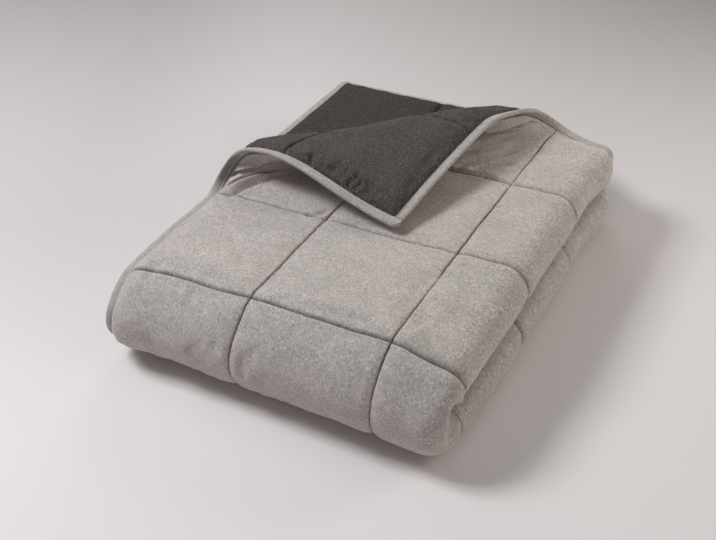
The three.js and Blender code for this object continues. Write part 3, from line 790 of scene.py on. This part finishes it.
def seam_tracks(side):
    found = []
    for k in range(1, ACROSS):
        w = np.arange(6, LENGTH - 6, STITCH + 0.6)
        u = k * SQUARE - 1.6 * noise(np.full_like(w, k * SQUARE), w, 90, 3)
        keep = shown(u, w, side) > 0.7
        if keep.any():
            found.append(track(lambda q, lift: laid(k * SQUARE - 1.6 * noise(np.full_like(q, k * SQUARE), q, 90, 3), q, side * (half_loft(k * SQUARE - 1.6 * noise(np.full_like(q, k * SQUARE), q, 90, 3), q) + 0.25 + lift)), w[keep], 1))
    for k in range(1, ALONG):
        w = np.arange(6, WIDTH - 6, STITCH + 0.6)
        v = k * SQUARE - 1.6 * noise(w, np.full_like(w, k * SQUARE), 90, 4)
        keep = shown(w, v, side) > 0.7
        if keep.any():
            found.append(track(lambda q, lift: laid(q, k * SQUARE - 1.6 * noise(q, np.full_like(q, k * SQUARE), 90, 4), side * (half_loft(q, k * SQUARE - 1.6 * noise(q, np.full_like(q, k * SQUARE), 90, 4)) + 0.25 + lift)), w[keep], 1))
    return found


seam_stitches = stitches("seam_stitches", seam_tracks(1), SEAM_THREAD, 3.6, 0.34)
reverse_stitches = stitches("reverse_stitches", seam_tracks(-1), DARK_THREAD, 3.6, 0.34)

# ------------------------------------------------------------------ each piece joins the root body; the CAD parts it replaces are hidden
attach(quilt, "root"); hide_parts("quilt_body")
for name, stations, flat_point, length in EDGES:
    t = tapes[name]
    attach(t, "root"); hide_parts(name)
for piece, slot in ((binding_stitches, "binding"), (seam_stitches, "quilt"), (reverse_stitches, "quilt")):
    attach(piece, "root")

# ------------------------------------------------------------------ floor, light, camera
AZ, EL = math.radians(27.6495), math.radians(36.0527)
EYE = ((1023.312 - CENTRE[0]) / 1000, (-1100.197 - CENTRE[1]) / 1000, (1037.850 + 159.0) / 1000)
floor_mat, ft, fb = new_material("floor")
coord = ft.nodes.new("ShaderNodeTexCoord")
sep = ft.nodes.new("ShaderNodeSeparateXYZ"); ft.links.new(coord.outputs["Object"], sep.inputs[0])
# painted shade: the floor colour darkens from front to back
span = ft.nodes.new("ShaderNodeMapRange")
span.inputs["From Min"].default_value = -1.2; span.inputs["From Max"].default_value = 2.6
ft.links.new(sep.outputs[1], span.inputs["Value"])
painted_front_back_ramp = ft.nodes.new("ShaderNodeValToRGB")
painted_front_back_ramp.color_ramp.interpolation = "EASE"
painted_front_back_ramp.color_ramp.elements[0].color = (0.955, 0.908, 0.912, 1); painted_front_back_ramp.color_ramp.elements[1].color = (0.405, 0.372, 0.369, 1)
ft.links.new(span.outputs[0], painted_front_back_ramp.inputs[0])
# painted shade: the floor colour darkens gently away from the middle of the picture
dot = ft.nodes.new("ShaderNodeVectorMath"); dot.operation = "DOT_PRODUCT"
dot.inputs[1].default_value = (math.cos(AZ), math.sin(AZ), 0)
ft.links.new(coord.outputs["Object"], dot.inputs[0])
off_axis = ft.nodes.new("ShaderNodeMath"); off_axis.operation = "SUBTRACT"
off_axis.inputs[1].default_value = EYE[0] * math.cos(AZ) + EYE[1] * math.sin(AZ)
ft.links.new(dot.outputs["Value"], off_axis.inputs[0])
square = ft.nodes.new("ShaderNodeMath"); square.operation = "POWER"; square.inputs[1].default_value = 2.0
whole = ft.nodes.new("ShaderNodeMath"); whole.operation = "ABSOLUTE"
ft.links.new(off_axis.outputs[0], whole.inputs[0]); ft.links.new(whole.outputs[0], square.inputs[0])
painted_side_falloff = ft.nodes.new("ShaderNodeMapRange")
painted_side_falloff.inputs["From Max"].default_value = 0.75; painted_side_falloff.inputs["To Min"].default_value = 1.0; painted_side_falloff.inputs["To Max"].default_value = 0.97
ft.links.new(square.outputs[0], painted_side_falloff.inputs["Value"])
# and painted shade darkens it more to the left and back
dot2 = ft.nodes.new("ShaderNodeVectorMath"); dot2.operation = "DOT_PRODUCT"
dot2.inputs[1].default_value = (-math.sin(AZ), math.cos(AZ), 0)
ft.links.new(coord.outputs["Object"], dot2.inputs[0])
far_off = EYE[1] * math.cos(AZ) - EYE[0] * math.sin(AZ)
back_share = ft.nodes.new("ShaderNodeMapRange"); back_share.interpolation_type = "SMOOTHSTEP"
back_share.inputs["From Min"].default_value = far_off + 1.15; back_share.inputs["From Max"].default_value = far_off + 1.9
ft.links.new(dot2.outputs["Value"], back_share.inputs["Value"])
left_share = ft.nodes.new("ShaderNodeMapRange"); left_share.interpolation_type = "SMOOTHSTEP"
left_share.inputs["From Min"].default_value = -0.1; left_share.inputs["From Max"].default_value = -0.65
ft.links.new(off_axis.outputs[0], left_share.inputs["Value"])
both = ft.nodes.new("ShaderNodeMath"); both.operation = "MULTIPLY"
ft.links.new(back_share.outputs[0], both.inputs[0]); ft.links.new(left_share.outputs[0], both.inputs[1])
painted_back_left_shade = ft.nodes.new("ShaderNodeMapRange"); painted_back_left_shade.inputs["To Min"].default_value = 1.0; painted_back_left_shade.inputs["To Max"].default_value = 0.79
ft.links.new(both.outputs[0], painted_back_left_shade.inputs["Value"])
painted_floor_shade = ft.nodes.new("ShaderNodeMath"); painted_floor_shade.operation = "MULTIPLY"
ft.links.new(painted_side_falloff.outputs[0], painted_floor_shade.inputs[0]); ft.links.new(painted_back_left_shade.outputs[0], painted_floor_shade.inputs[1])
tone = ft.nodes.new("ShaderNodeMix"); tone.data_type = "RGBA"; tone.blend_type = "MULTIPLY"; tone.inputs[0].default_value = 1.0
ft.links.new(painted_front_back_ramp.outputs[0], tone.inputs[6]); ft.links.new(painted_floor_shade.outputs[0], tone.inputs[7])
fn = ft.nodes.new("ShaderNodeTexNoise"); fn.inputs["Scale"].default_value = 240.0; fn.inputs["Detail"].default_value = 2.0
fbump = ft.nodes.new("ShaderNodeBump"); fbump.inputs["Strength"].default_value = 0.05; fbump.inputs["Distance"].default_value = 0.001
ft.links.new(fn.outputs[0], fbump.inputs["Height"]); ft.links.new(fbump.outputs[0], fb.inputs["Normal"])
ft.links.new(tone.outputs[2], fb.inputs["Base Color"])
fb.inputs["Roughness"].default_value = 0.85
fb.inputs["Specular IOR Level"].default_value = 0.15
floor = add_mesh("floor", [(-7, -7, -0.0004), (7, -7, -0.0004), (7, 9, -0.0004), (-7, 9, -0.0004)], [(0, 1, 2, 3)], None, (floor_mat,))


def area(name, at, aim, size, power, colour):
    d = bpy.data.lights.new(name, "AREA")
    d.shape = "RECTANGLE"; d.size, d.size_y = size
    d.energy = power; d.color = colour
    o = bpy.data.objects.new(name, d)
    o.location = at
    o.rotation_euler = (Vector(aim) - Vector(at)).to_track_quat("-Z", "Y").to_euler()
    bpy.context.scene.collection.objects.link(o)
    return o


area("key", (-1.82, -0.7, 2.38), (0, 0, 0.05), (0.95, 0.95), 61, (0.965, 0.985, 1.0))
area("key_back", (-2.2, 1.0, 3.2), (0, 0, 0.05), (1.2, 1.2), 4, (0.985, 1.0, 1.0))
area("back_left", (-1.2, 2.4, 1.4), (0, 0, 0.05), (1.4, 1.4), 15, (1.0, 0.985, 0.965))
area("overhead", (0.3, 0.3, 2.2), (0, 0, 0.05), (3.6, 3.6), 12.5, (1.0, 0.985, 0.97))
area("right", (2.6, 0.4, 1.7), (0, 0, 0.05), (1.6, 1.6), 6.5, (1.0, 0.965, 0.88))
area("right_back", (1.5, 1.1, 0.8), (0, 0, 0.05), (0.8, 0.8), 9.5, (1.0, 0.955, 0.87))
area("right_low", (3.4, -0.2, 0.75), (0, -0.1, 0.1), (3.0, 0.6), 6.5, (1.0, 0.955, 0.87))
area("front", (0.6, -2.8, 1.6), (0, 0, 0.05), (1.8, 1.8), 7.5, (1.0, 0.985, 0.96))
world = bpy.data.worlds.new("studio"); bpy.context.scene.world = world
world.use_nodes = True
world.node_tree.nodes["Background"].inputs[0].default_value = (0.93, 0.92, 0.92, 1)
world.node_tree.nodes["Background"].inputs[1].default_value = 0.01

cam_data = bpy.data.cameras.new("camera")
cam_data.sensor_fit = "HORIZONTAL"; cam_data.sensor_width = 36.0
cam_data.lens = 1042.634 / 716.0 * 36.0
cam_data.clip_end = 60
cam = bpy.data.objects.new("camera", cam_data)
right = Vector((math.cos(AZ), math.sin(AZ), 0))
backv = Vector((math.sin(AZ) * math.cos(EL), -math.cos(AZ) * math.cos(EL), math.sin(EL)))
upv = backv.cross(right)
eye = Vector(EYE)
cam.matrix_world = Matrix(((right.x, upv.x, backv.x, eye.x), (right.y, upv.y, backv.y, eye.y), (right.z, upv.z, backv.z, eye.z), (0, 0, 0, 1)))
bpy.context.scene.collection.objects.link(cam)
bpy.context.scene.camera = cam
bpy.context.scene.view_settings.view_transform = "Standard"
bpy.context.scene.view_settings.look = "None"
bpy.context.scene.view_settings.exposure = 0.0
